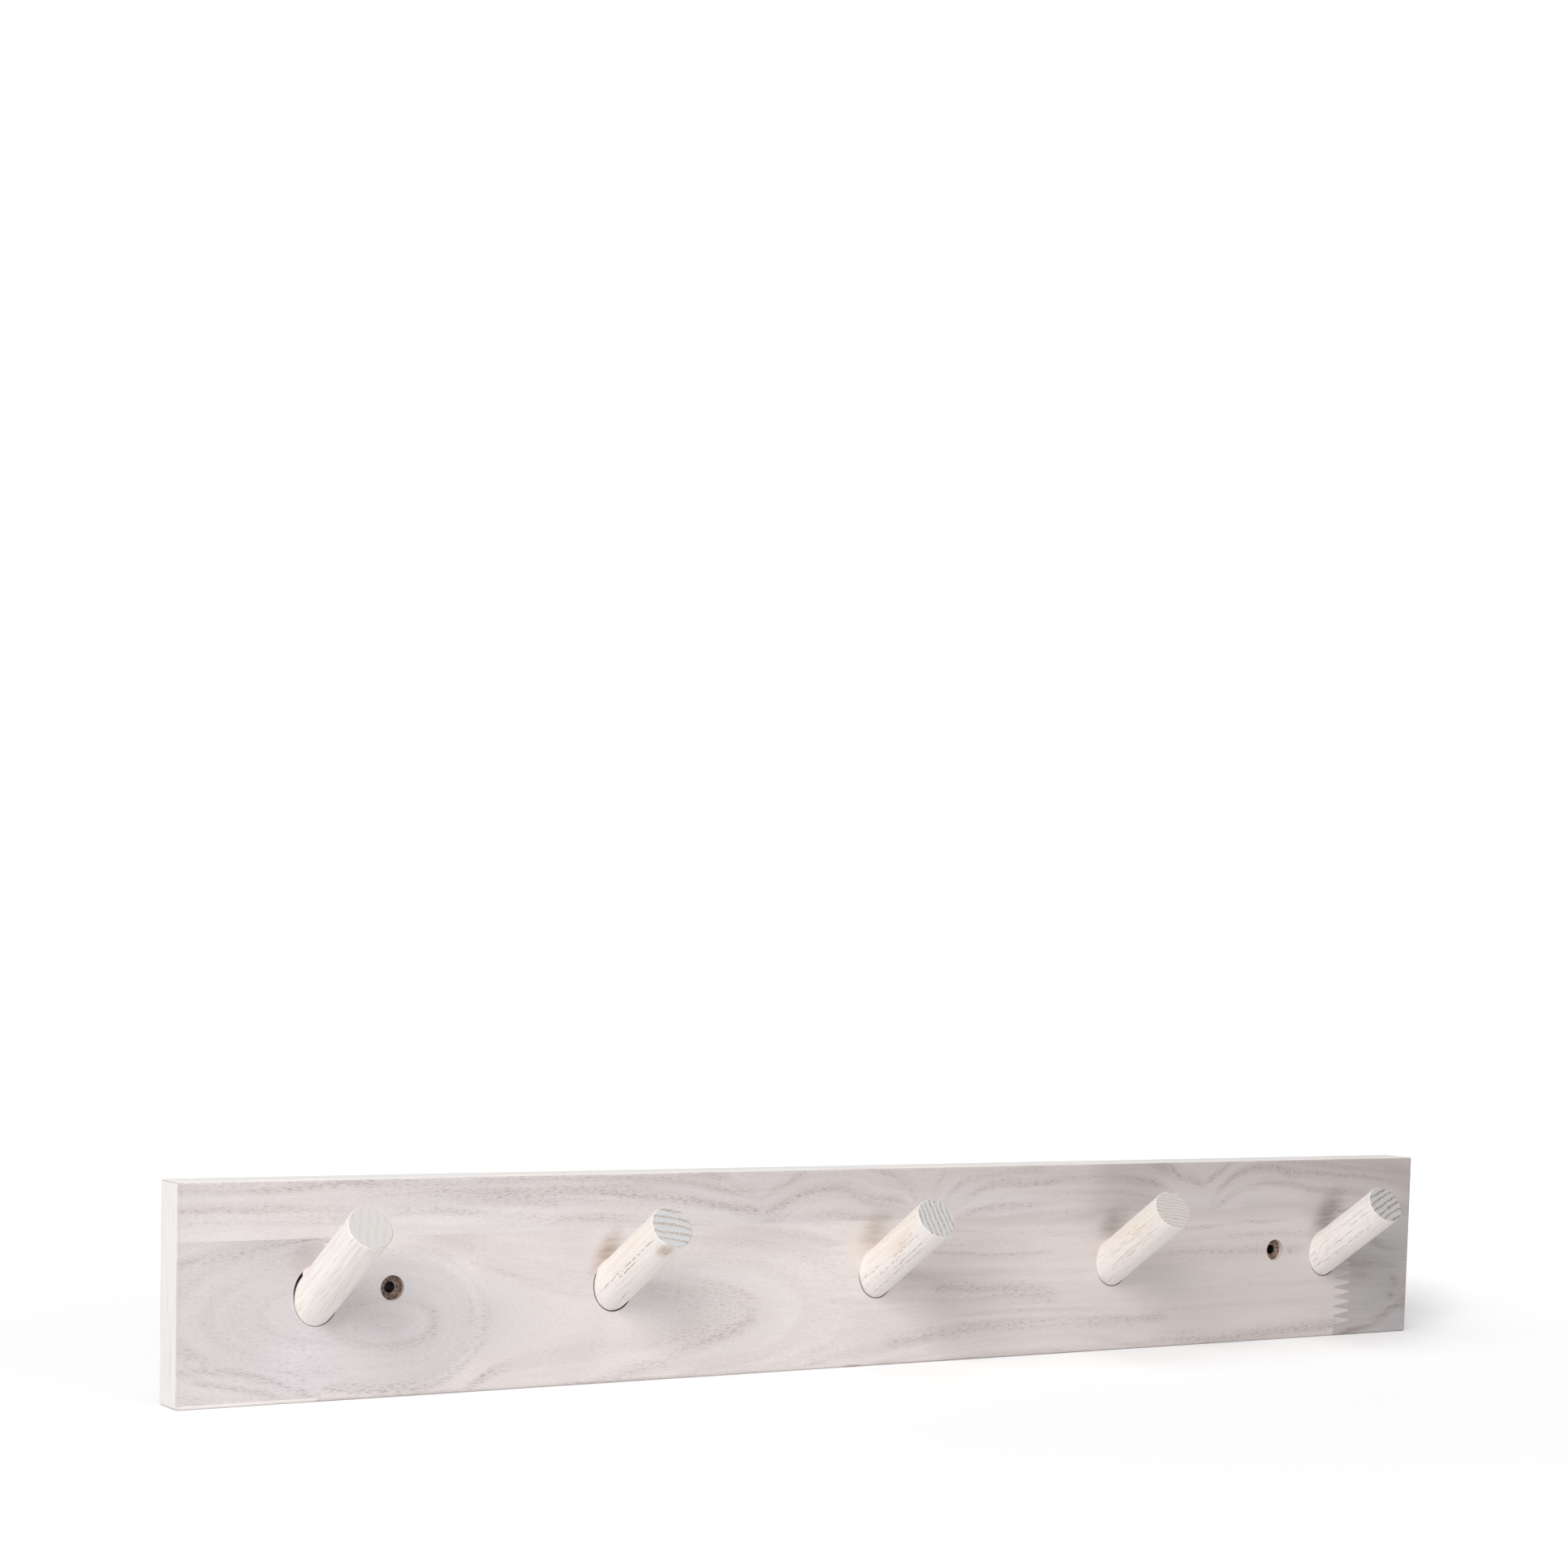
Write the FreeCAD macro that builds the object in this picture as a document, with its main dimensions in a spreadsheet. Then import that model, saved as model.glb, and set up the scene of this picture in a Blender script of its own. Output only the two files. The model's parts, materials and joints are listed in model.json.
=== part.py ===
import FreeCAD, Part
import os
import Sketcher

# Coat rail: an edge-glued, finger-jointed board with five slanted dowel pegs.
# The origin is the middle of the back face: +X runs along the rail to the viewer's right,
# +Y points into the wall, +Z is up, and the pegs stand out of the front towards -Y.

# Driving dimensions, in millimetres and degrees
DIMENSIONS = [
    ("rail_length", 700, "length of the board"),
    ("rail_height", 95, "height of the board"),
    ("rail_depth", 20, "thickness of the board"),
    ("edge_easing", 1.2, "radius sanded on every outer edge of the board"),
    ("upper_stave_height", 25, "height of the stave along the top edge"),
    ("edge_strip_height", 1.8, "height of the sliver of stave along the bottom edge"),
    ("left_end_block", 70, "left end of the board to the first finger joint"),
    ("middle_joint_offset", -23, "middle of the board to the second finger joint"),
    ("right_end_block", 48, "third finger joint to the right end of the board"),
    ("left_end_strip", 62.5, "left end of the board to the first joint in the edge strip"),
    ("strip_joint_offset", -100, "middle of the board to the second joint in the edge strip"),
    ("right_end_strip", 53.5, "third joint in the edge strip to the right end of the board"),
    ("finger_length", 10.5, "length of a finger along the rail"),
    ("finger_pitch", 5.1, "one finger to the next"),
    ("finger_tip", 0.8, "width of a finger's blunt tip"),
    ("left_joint_drop", 3.1, "middle of the board down to a left-hand finger of the first joint"),
    ("middle_joint_drop", 3.05, "middle of the board down to a left-hand finger of the second joint"),
    ("right_joint_drop", 3.7, "middle of the board down to a left-hand finger of the third joint"),
    ("finger_foot", 3.5, "least mean height of the shoulder under the lowest finger"),
    ("finger_head", 0.3, "least height of the shoulder over the highest finger"),
    ("peg_diameter", 20, "diameter of the dowel"),
    ("peg_end_margin", 62, "end of the board to the axis of the end peg"),
    ("peg_drop", 2.5, "peg axis at the front face, below the middle of the board"),
    ("peg_tip_chamfer", 0.5, "chamfer sanded on the rim of a peg's tip"),
    ("socket_clearance", 0.4, "gap between peg and socket, all round"),
    ("socket_backing", 3.5, "wood left behind the deepest point of a socket"),
    ("peg_1_tilt", 34.7, "rise of the peg above level"),
    ("peg_1_lean", 2.7, "turn of the peg to the right"),
    ("peg_1_reach", 59.4, "front face to tip, along the axis"),
    ("peg_2_tilt", 31.8, "rise of the peg above level"),
    ("peg_2_lean", 1.5, "turn of the peg to the right"),
    ("peg_2_reach", 57.3, "front face to tip, along the axis"),
    ("peg_3_tilt", 33.1, "rise of the peg above level"),
    ("peg_3_lean", 0.7, "turn of the peg to the right"),
    ("peg_3_reach", 55.3, "front face to tip, along the axis"),
    ("peg_4_tilt", 32.1, "rise of the peg above level"),
    ("peg_4_lean", -3.6, "turn of the peg to the right"),
    ("peg_4_reach", 57.8, "front face to tip, along the axis"),
    ("peg_5_tilt", 33.1, "rise of the peg above level"),
    ("peg_5_lean", -1.3, "turn of the peg to the right"),
    ("peg_5_reach", 54.1, "front face to tip, along the axis"),
    ("screw_from_peg", 35, "axis of the end peg to the screw hole inboard of it"),
    ("screw_hole_diameter", 5, "hole for the shank of a wall screw"),
    ("counterbore_diameter", 11, "recess for the head of a wall screw"),
    ("counterbore_depth", 3.2, "depth of the recess from the front face"),
]
PEG_COUNT = 5

os.makedirs("parts", exist_ok=True)
doc = FreeCAD.newDocument("PegRail")
sheet = doc.addObject("Spreadsheet::Sheet", "Sizes")
for row, (alias, number, meaning) in enumerate(DIMENSIONS, start=1):
    sheet.set(f"A{row}", meaning)
    sheet.set(f"B{row}", str(number))
    sheet.setAlias(f"B{row}", alias)
doc.recompute()


def size(alias):
    """Expression that reads one driving dimension."""
    return f"Sizes.{alias}"


def value(expression):
    """Present number of an expression, as a starting place for a sketch."""
    return float(sheet.evalExpression(expression))


# Lines that the pieces share, as expressions of the driving dimensions
LEFT_END = f"(-{size('rail_length')} / 2)"
RIGHT_END = f"({size('rail_length')} / 2)"
TOP = f"({size('rail_height')} / 2)"
BOTTOM = f"(-{size('rail_height')} / 2)"
UPPER_GLUE_LINE = f"({TOP} - {size('upper_stave_height')})"
LOWER_GLUE_LINE = f"({BOTTOM} + {size('edge_strip_height')})"
FINGER_JOINTS = [
    {"line": f"({LEFT_END} + {size('left_end_block')})", "drop": size("left_joint_drop")},
    {"line": size("middle_joint_offset"), "drop": size("middle_joint_drop")},
    {"line": f"({RIGHT_END} - {size('right_end_block')})", "drop": size("right_joint_drop")},
]
STRIP_JOINTS = [
    f"({LEFT_END} + {size('left_end_strip')})",
    size("strip_joint_offset"),
    f"({RIGHT_END} - {size('right_end_strip')})",
]
PEG_PITCH = f"(({size('rail_length')} - 2 * {size('peg_end_margin')}) / {PEG_COUNT - 1})"


def rectangle(left, right, low, high):
    """Corners of a rectangle on the face of the board."""
    return [(left, low), (right, low), (right, high), (left, high)]


def face_sketch(body, name, corners):
    """Closed outline on the back plane of the board, every corner bound to its expressions."""
    plane = next(feature for feature in body.Origin.OriginFeatures if feature.Role == "XZ_Plane")
    sketch = body.newObject("Sketcher::SketchObject", name)
    sketch.AttachmentSupport = [(plane, "")]
    sketch.MapMode = "FlatFace"
    points = [FreeCAD.Vector(value(across), value(up), 0) for across, up in corners]
    for index, point in enumerate(points):
        sketch.addGeometry(Part.LineSegment(point, points[(index + 1) % len(points)]))
    for index in range(len(points)):
        following = (index + 1) % len(points)
        sketch.addConstraint(Sketcher.Constraint("Coincident", index, 2, following, 1))
    for index, (across, up) in enumerate(corners):
        for direction, start, expression in (
            ("DistanceX", points[index].x, across),
            ("DistanceY", points[index].y, up),
        ):
            number = sketch.addConstraint(Sketcher.Constraint(direction, -1, 1, index, 1, start))
            sketch.setExpression(f"Constraints[{number}]", expression)
    return sketch


def board_block(name, left, right, low, high):
    """Body as thick as the board, padded from the back face to the front."""
    body = doc.addObject("PartDesign::Body", name)
    outline = face_sketch(body, name + "_outline", rectangle(left, right, low, high))
    pad = body.newObject("PartDesign::Pad", name + "_pad")
    pad.Profile = outline
    pad.setExpression("Length", size("rail_depth"))
    doc.recompute()
    return body


def cut_through(body, name, corners):
    """Pocket of an outline through the whole thickness of a block."""
    before = body.Shape.Volume
    pocket = body.newObject("PartDesign::Pocket", name)
    pocket.Profile = face_sketch(body, name + "_outline", corners)
    pocket.Type = "ThroughAll"
    pocket.Reversed = True
    doc.recompute()
    if not body.Shape.Volume < before:
        raise RuntimeError(name + " removes nothing")
    return pocket


# The finger joint is a comb of blunt wedges that the two blocks share.
# Fingers of the left block and of the right block take turns, half a pitch apart.
# A joint is set out by the middle line of its comb, and by one finger near the middle of the board.
FINGER_ROOT = f"({size('finger_pitch')} - {size('finger_tip')})"
FINGER_FLARE = f"(({FINGER_ROOT} - {size('finger_tip')}) / 4)"


def comb_start(joint):
    """Line where the left block's fingers are rooted and the right block's fingers end."""
    return f"({joint['line']} - {size('finger_length')} / 2)"


def comb_end(joint):
    """Line where the left block's fingers end and the right block's fingers are rooted."""
    return f"({joint['line']} + {size('finger_length')} / 2)"


def left_finger(joint):
    """Height of the lowest finger of the left block, whole pitches below the one set out."""
    lowest = f"({LOWER_GLUE_LINE} + {size('finger_foot')} + {size('finger_pitch')} / 4)"
    steps = f"floor((-{joint['drop']} - {lowest}) / {size('finger_pitch')})"
    return f"(-{joint['drop']} - {steps} * {size('finger_pitch')})"


def right_finger(joint):
    """Height of the lowest finger of the right block."""
    return f"({left_finger(joint)} + {size('finger_pitch')} / 2)"


def finger_count(joint):
    """Fingers of each block that the height of the stave has room for."""
    underside = f"({left_finger(joint)} - {size('finger_pitch')} / 4)"
    room = f"({UPPER_GLUE_LINE} - {underside} - {FINGER_FLARE} - {size('finger_head')})"
    return f"floor({room} / {size('finger_pitch')})"


def top_right_finger(joint):
    """Height of the highest finger of the right block."""
    return f"({right_finger(joint)} + ({finger_count(joint)} - 1) * {size('finger_pitch')})"


def repeat_up(body, name, notch, joint):
    """Row of notches, one finger pitch apart, up the height of the block."""
    upward = next(feature for feature in body.Origin.OriginFeatures if feature.Role == "Z_Axis")
    row_of_notches = body.newObject("PartDesign::LinearPattern", name)
    row_of_notches.Originals = [notch]
    row_of_notches.Direction = (upward, [""])
    row_of_notches.Mode = "Spacing"
    row_of_notches.setExpression("Offset", size("finger_pitch"))
    row_of_notches.setExpression("Occurrences", finger_count(joint))
    body.Tip = row_of_notches
    doc.recompute()


def comb_on_right(body, name, joint):
    """Cuts the right block's fingers and its foot shoulder out of a block's right end."""
    root, tip = f"{FINGER_ROOT} / 2", f"{size('finger_tip')} / 2"
    notch = cut_through(body, name + "_notch", [
        (comb_end(joint), f"{right_finger(joint)} - {root}"),
        (comb_end(joint), f"{right_finger(joint)} + {root}"),
        (comb_start(joint), f"{right_finger(joint)} + {tip}"),
        (comb_start(joint), f"{right_finger(joint)} - {tip}"),
    ])
    repeat_up(body, name + "_comb", notch, joint)
    cut_through(body, name + "_foot", [
        (comb_start(joint), LOWER_GLUE_LINE),
        (comb_end(joint), LOWER_GLUE_LINE),
        (comb_end(joint), f"{left_finger(joint)} - {tip}"),
        (comb_start(joint), f"{left_finger(joint)} - {root}"),
    ])


def comb_on_left(body, name, joint):
    """Cuts the left block's fingers and its head shoulder out of a block's left end."""
    root, tip = f"{FINGER_ROOT} / 2", f"{size('finger_tip')} / 2"
    notch = cut_through(body, name + "_notch", [
        (comb_start(joint), f"{left_finger(joint)} - {root}"),
        (comb_end(joint), f"{left_finger(joint)} - {tip}"),
        (comb_end(joint), f"{left_finger(joint)} + {tip}"),
        (comb_start(joint), f"{left_finger(joint)} + {root}"),
    ])
    repeat_up(body, name + "_comb", notch, joint)
    cut_through(body, name + "_head", [
        (comb_start(joint), f"{top_right_finger(joint)} + {tip}"),
        (comb_end(joint), f"{top_right_finger(joint)} + {root}"),
        (comb_end(joint), UPPER_GLUE_LINE),
        (comb_start(joint), UPPER_GLUE_LINE),
    ])


# Pegs: plain dowels, cut square, with a sanded chamfer round the rim of the tip
def peg_placement(number):
    """Seat of a peg: its inner end on the socket floor, its axis tilted up and leaning sideways."""
    tilt, lean = size(f"peg_{number}_tilt"), size(f"peg_{number}_lean")
    along = f"{PEG_PITCH} * {number - 1 - (PEG_COUNT - 1) / 2}"
    depth = socket_depth(number)
    across = f"{along} - {depth} * cos({tilt}) * sin({lean})"
    inward = f"{depth} * cos({tilt}) * cos({lean}) - {size('rail_depth')}"
    up = f"-{size('peg_drop')} - {depth} * sin({tilt})"
    turn = f"rotationz({lean}) * rotationx(90 - {tilt})"
    return f"placement(vector({across}; {inward}; {up}); {turn})"


SOCKET_RADIUS = f"({size('peg_diameter')} / 2 + {size('socket_clearance')})"


def socket_depth(number):
    """Depth of a socket along its axis, which leaves the backing behind its upper rim."""
    tilt = size(f"peg_{number}_tilt")
    room = f"({size('rail_depth')} - {size('socket_backing')} - {SOCKET_RADIUS} * sin({tilt}))"
    return f"({room} / cos({tilt}))"


def peg_length(number):
    """Whole length of a peg, from the socket floor to its tip."""
    return f"{socket_depth(number)} + {size(f'peg_{number}_reach')}"


pegs = []
for number in range(1, PEG_COUNT + 1):
    peg = doc.addObject("PartDesign::Body", f"Peg{number}")
    peg.Label = f"peg_{number}"
    section = peg.newObject("Sketcher::SketchObject", f"Peg{number}Section")
    ground = next(feature for feature in peg.Origin.OriginFeatures if feature.Role == "XY_Plane")
    section.AttachmentSupport = [(ground, "")]
    section.MapMode = "FlatFace"
    middle, normal = FreeCAD.Vector(0, 0, 0), FreeCAD.Vector(0, 0, 1)
    section.addGeometry(Part.Circle(middle, normal, value(size("peg_diameter")) / 2))
    section.addConstraint(Sketcher.Constraint("Coincident", 0, 3, -1, 1))
    girth = section.addConstraint(Sketcher.Constraint("Diameter", 0, value(size("peg_diameter"))))
    section.setExpression(f"Constraints[{girth}]", size("peg_diameter"))
    dowel = peg.newObject("PartDesign::Pad", f"Peg{number}Dowel")
    dowel.Profile = section
    dowel.setExpression("Length", peg_length(number))
    doc.recompute()
    rims = [f"Edge{index}" for index, edge in enumerate(dowel.Shape.Edges, start=1)
            if edge.Closed and edge.CenterOfMass.z > value(peg_length(number)) / 2]
    tip = peg.newObject("PartDesign::Chamfer", f"Peg{number}Tip")
    tip.Base = (dowel, rims)
    tip.setExpression("Size", size("peg_tip_chamfer"))
    peg.setExpression("Placement", peg_placement(number))
    pegs.append(peg)
doc.recompute()


# Drilling, done through the glued-up board: a blind slanted socket for each peg,
# and a counterbored hole for a wall screw inboard of each end peg
def drill(name, radius, length, placement):
    """Cylinder that a drill clears, standing on its own base."""
    cylinder = doc.addObject("Part::Cylinder", name)
    cylinder.setExpression("Radius", radius)
    cylinder.setExpression("Height", length)
    cylinder.setExpression("Placement", placement)
    return cylinder


def screw_placement(side, inward):
    """Base of a screw hole or its recess, at a distance in from the back face."""
    along = f"({RIGHT_END} - {size('peg_end_margin')} - {size('screw_from_peg')})"
    return f"placement(vector({side} * {along}; {inward}; 0); rotationx(90))"


drills = []
for number, peg in enumerate(pegs, start=1):
    drills.append(drill(f"Socket{number}", SOCKET_RADIUS, peg_length(number), f"{peg.Name}.Placement"))
for side, hand in ((-1, "Left"), (1, "Right")):
    shank = f"{size('screw_hole_diameter')} / 2"
    drills.append(drill(f"{hand}ScrewHole", shank, size("rail_depth"), screw_placement(side, "0")))
    head = f"{size('counterbore_diameter')} / 2"
    seat = f"{size('counterbore_depth')} - {size('rail_depth')}"
    drills.append(drill(f"{hand}Counterbore", head, size("counterbore_depth"), screw_placement(side, seat)))
drilling = doc.addObject("Part::MultiFuse", "Drilling")
drilling.Shapes = drills

# Sanding: the whole board with its outer edges eased
sanded_board = board_block("SandedBoard", LEFT_END, RIGHT_END, BOTTOM, TOP)
sawn_board = sanded_board.Tip
easing = sanded_board.newObject("PartDesign::Fillet", "SandedEdges")
easing.Base = (sawn_board, [f"Edge{index + 1}" for index in range(len(sawn_board.Shape.Edges))])
easing.setExpression("Radius", size("edge_easing"))
doc.recompute()


def board_piece(label, block):
    """A block as it is in the finished board: sanded on its outside and drilled."""
    sanded = doc.addObject("Part::Common", block.Name + "Sanded")
    sanded.Base = block
    sanded.Tool = sanded_board
    drilled = doc.addObject("Part::Cut", block.Name + "Drilled")
    drilled.Base = sanded
    drilled.Tool = drilling
    drilled.Label = label
    return drilled


# Board: one long stave above, four finger-jointed blocks below it,
# and a butted sliver of the next stave along the bottom edge
upper_stave = board_block("UpperStave", LEFT_END, RIGHT_END, UPPER_GLUE_LINE, TOP)
board = [board_piece("upper_stave", upper_stave)]

BLOCK_NAMES = ["left_end_block", "left_block", "right_block", "right_end_block"]
for index, label in enumerate(BLOCK_NAMES):
    name = "".join(word.capitalize() for word in label.split("_"))
    left = comb_start(FINGER_JOINTS[index - 1]) if index > 0 else LEFT_END
    right = comb_end(FINGER_JOINTS[index]) if index < len(FINGER_JOINTS) else RIGHT_END
    block = board_block(name, left, right, LOWER_GLUE_LINE, UPPER_GLUE_LINE)
    if index > 0:
        comb_on_left(block, name + "Left", FINGER_JOINTS[index - 1])
    if index < len(FINGER_JOINTS):
        comb_on_right(block, name + "Right", FINGER_JOINTS[index])
    board.append(board_piece(label, block))

STRIP_NAMES = ["left_end_strip", "left_strip", "right_strip", "right_end_strip"]
strip_lines = [LEFT_END] + STRIP_JOINTS + [RIGHT_END]
for index, label in enumerate(STRIP_NAMES):
    name = "".join(word.capitalize() for word in label.split("_"))
    strip = board_block(name, strip_lines[index], strip_lines[index + 1], BOTTOM, LOWER_GLUE_LINE)
    board.append(board_piece(label, strip))
doc.recompute()

# Every piece is one sound solid before anything is written
for item in doc.Objects:
    if "Invalid" in item.State or "Error" in item.State:
        raise RuntimeError(f"{item.Name} failed: {item.State}")
pieces = board + pegs
for piece in pieces:
    if piece.Shape.isNull() or not piece.Shape.isValid() or len(piece.Shape.Solids) != 1:
        raise RuntimeError(f"{piece.Label} is not one sound solid")
for piece in pieces:
    piece.Shape.exportStep(f"parts/{piece.Label}.step")
    print(piece.Label, round(piece.Shape.Volume))
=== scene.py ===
import json
import math

import bmesh
import bpy
from mathutils import Matrix, Vector


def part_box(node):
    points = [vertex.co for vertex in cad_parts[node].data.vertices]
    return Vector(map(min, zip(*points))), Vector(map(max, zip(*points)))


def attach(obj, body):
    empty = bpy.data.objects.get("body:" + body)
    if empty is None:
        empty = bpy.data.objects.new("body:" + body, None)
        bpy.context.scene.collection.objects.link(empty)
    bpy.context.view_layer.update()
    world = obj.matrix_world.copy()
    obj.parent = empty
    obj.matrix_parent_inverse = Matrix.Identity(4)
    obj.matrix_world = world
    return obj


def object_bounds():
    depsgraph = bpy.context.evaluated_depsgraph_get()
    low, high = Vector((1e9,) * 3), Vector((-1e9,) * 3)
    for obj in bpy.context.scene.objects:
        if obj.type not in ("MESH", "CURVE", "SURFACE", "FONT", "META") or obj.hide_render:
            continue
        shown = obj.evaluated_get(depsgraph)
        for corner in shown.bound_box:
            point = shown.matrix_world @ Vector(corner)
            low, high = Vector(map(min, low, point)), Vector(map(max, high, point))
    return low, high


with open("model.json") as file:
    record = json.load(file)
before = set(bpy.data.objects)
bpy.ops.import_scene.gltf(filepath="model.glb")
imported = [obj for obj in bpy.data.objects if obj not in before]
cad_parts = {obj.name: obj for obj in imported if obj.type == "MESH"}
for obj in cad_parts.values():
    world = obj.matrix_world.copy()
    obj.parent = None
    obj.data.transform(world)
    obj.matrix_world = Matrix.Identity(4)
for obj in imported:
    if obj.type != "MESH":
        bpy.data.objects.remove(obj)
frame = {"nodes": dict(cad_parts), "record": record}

cad_low, cad_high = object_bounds()

# Upper stave: one long plain-sawn stick, glued along the top of the board.
# Hardwood with coarse pores, planed, sanded and brushed with a thin white lime wash that leaves
# the grain showing. Its grain dips and climbs again past three small knots in its length.
METRE = 1000.0
stave_low, stave_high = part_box("upper_stave")
BOARD_LEFT = stave_low.x * METRE
BOARD_FRONT = stave_low.y * METRE
BOARD_TOP = stave_high.z * METRE
BOARD_LENGTH = (stave_high.x - stave_low.x) * METRE
BOARD_DEPTH = (stave_high.y - stave_low.y) * METRE
BOARD_HEIGHT = BOARD_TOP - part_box("right_strip")[0].z * METRE
mounts = {mount["name"]: mount for mount in frame["record"]["mounts"]}


def card(red, green, blue):
    """Colour read off a paint card, 0 to 255, as scene light."""
    def light(share):
        return share / 12.92 if share <= 0.04045 else ((share + 0.055) / 1.055) ** 2.4
    return (light(red / 255), light(green / 255), light(blue / 255), 1.0)


def feed(tree, socket, value):
    """Gives a socket a number, a colour, or what another node makes."""
    if isinstance(value, bpy.types.NodeSocket):
        tree.links.new(value, socket)
    else:
        socket.default_value = value


def reckon(tree, operation, *values):
    """One sum on numbers."""
    node = tree.nodes.new("ShaderNodeMath")
    node.operation = operation
    for socket, value in zip(node.inputs, values):
        feed(tree, socket, value)
    return node.outputs[0]


def fade(tree, value, start, end, low=0.0, high=1.0):
    """Runs smoothly from low to high while value runs from start to end."""
    node = tree.nodes.new("ShaderNodeMapRange")
    node.interpolation_type = "SMOOTHSTEP"
    for socket, number in zip(node.inputs, (value, start, end, low, high)):
        feed(tree, socket, number)
    return node.outputs[0]


def within(tree, value, first, last, soft):
    """1 between two places, fading to 0 over a soft length inside each of them."""
    begun = fade(tree, value, first, first + soft)
    return reckon(tree, "MULTIPLY", begun, fade(tree, value, last, last - soft))


def bent_line(tree, along, points):
    """A line drawn through points of (mm, mm), read at a place along it."""
    low = min(height for _, height in points)
    high = max(height for _, height in points)
    first, last = points[0][0], points[-1][0]
    place = tree.nodes.new("ShaderNodeMapRange")
    for socket, number in zip(place.inputs, (along, first, last, 0.0, 1.0)):
        feed(tree, socket, number)
    node = tree.nodes.new("ShaderNodeFloatCurve")
    curve = node.mapping.curves[0]
    shares = [((mm - first) / (last - first), (height - low) / (high - low)) for mm, height in points]
    curve.points[0].location = shares[0]
    curve.points[1].location = shares[-1]
    for share in shares[1:-1]:
        curve.points.new(*share)
    node.mapping.update()
    feed(tree, node.inputs["Value"], place.outputs[0])
    return reckon(tree, "MULTIPLY_ADD", node.outputs[0], high - low, low)


def mottle(tree, place, size, detail=2.0, rough=0.5):
    """Soft random cloud over three lengths, with blotches as long as size along each of them."""
    node = tree.nodes.new("ShaderNodeTexNoise")
    vector = tree.nodes.new("ShaderNodeCombineXYZ")
    for socket, length, reach in zip(vector.inputs, place, size):
        feed(tree, socket, reckon(tree, "DIVIDE", length, reach))
    feed(tree, node.inputs["Vector"], vector.outputs[0])
    node.inputs["Scale"].default_value = 1.0
    node.inputs["Detail"].default_value = detail
    node.inputs["Roughness"].default_value = rough
    return node.outputs[0]


def wash(tree, share, under, over):
    """Colour over, laid on colour under as thickly as share says."""
    node = tree.nodes.new("ShaderNodeMix")
    node.data_type = "RGBA"
    for index, value in ((0, share), (6, under), (7, over)):
        feed(tree, node.inputs[index], value)
    return node.outputs[2]


def smudge(tree, place, middle, reach):
    """Soft oval mark on the face: 1 at its middle, 0 from its reach outwards."""
    vector = tree.nodes.new("ShaderNodeCombineXYZ")
    for socket, length, centre, radius in zip(vector.inputs, place, middle, reach):
        feed(tree, socket, reckon(tree, "MULTIPLY_ADD", length, 1 / radius, -centre / radius))
    length = tree.nodes.new("ShaderNodeVectorMath")
    length.operation = "LENGTH"
    tree.links.new(vector.outputs[0], length.inputs[0])
    return fade(tree, length.outputs["Value"], 1.0, 0.0)


def new_material(name):
    """Empty material, its nodes and its shader."""
    material = bpy.data.materials.new(name)
    material.use_nodes = True
    tree = material.node_tree
    return material, tree, next(node for node in tree.nodes if node.type == "BSDF_PRINCIPLED")


def object_place(tree):
    """Place on a piece, in metres of the frame."""
    return tree.nodes.new("ShaderNodeTexCoord").outputs["Object"]


def three_lengths(tree, place):
    """The three lengths that a place is made of."""
    split = tree.nodes.new("ShaderNodeSeparateXYZ")
    tree.links.new(place, split.inputs[0])
    return tuple(split.outputs)


def new_finish(name):
    """Empty material with its shader, and the lengths along, down and into the board in mm."""
    material, tree, shader = new_material(name)
    rightwards, backwards, upwards = three_lengths(tree, object_place(tree))
    along = reckon(tree, "MULTIPLY_ADD", rightwards, METRE, -BOARD_LEFT)
    into = reckon(tree, "MULTIPLY_ADD", backwards, METRE, -BOARD_FRONT)
    down = reckon(tree, "MULTIPLY_ADD", upwards, -METRE, BOARD_TOP)
    return material, tree, shader, (along, down, into)


RING_SLOPE = 0.3
GRAIN_WAVES = [((45.0, 14.0, 30.0), 4.0), ((14.0, 4.0, 12.0), 1.8)]


def wander(tree, place):
    """Place on the face as the grain follows it, in waves a little up and down from the ruled line."""
    along, down, into = place
    sunk = reckon(tree, "MULTIPLY_ADD", into, RING_SLOPE, down)
    for size, height in GRAIN_WAVES:
        drift = reckon(tree, "SUBTRACT", mottle(tree, place, size), 0.5)
        sunk = reckon(tree, "MULTIPLY_ADD", drift, height, sunk)
    return along, sunk, into


LINE_RUN_OUT = 3.0
LINE_TAPER = 12.0


def streaks(tree, place, lines):
    """Darkness of growth lines: each has a half width in mm, a strength and its course on the face."""
    along, down, _ = place
    marks = 0.0
    for half_width, strength, course in lines:
        offset = reckon(tree, "ABSOLUTE", reckon(tree, "SUBTRACT", down, bent_line(tree, along, course)))
        ends = within(tree, along, course[0][0] - LINE_RUN_OUT, course[-1][0] + LINE_RUN_OUT, LINE_TAPER)
        mark = reckon(tree, "MULTIPLY", fade(tree, offset, 2.0 * half_width, 0.0, 0.0, strength), ends)
        marks = reckon(tree, "MAXIMUM", mark, marks)
    return marks


PORE = card(124, 104, 96)
RING_BLOTCH = (110.0, 4.5, 60.0)
FIBRE = (16.0, 0.5, 12.0)
PORE_DASH = (3.4, 0.28, 0.5)
LIME_FLECK = (2.4, 0.24, 1.0)


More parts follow.
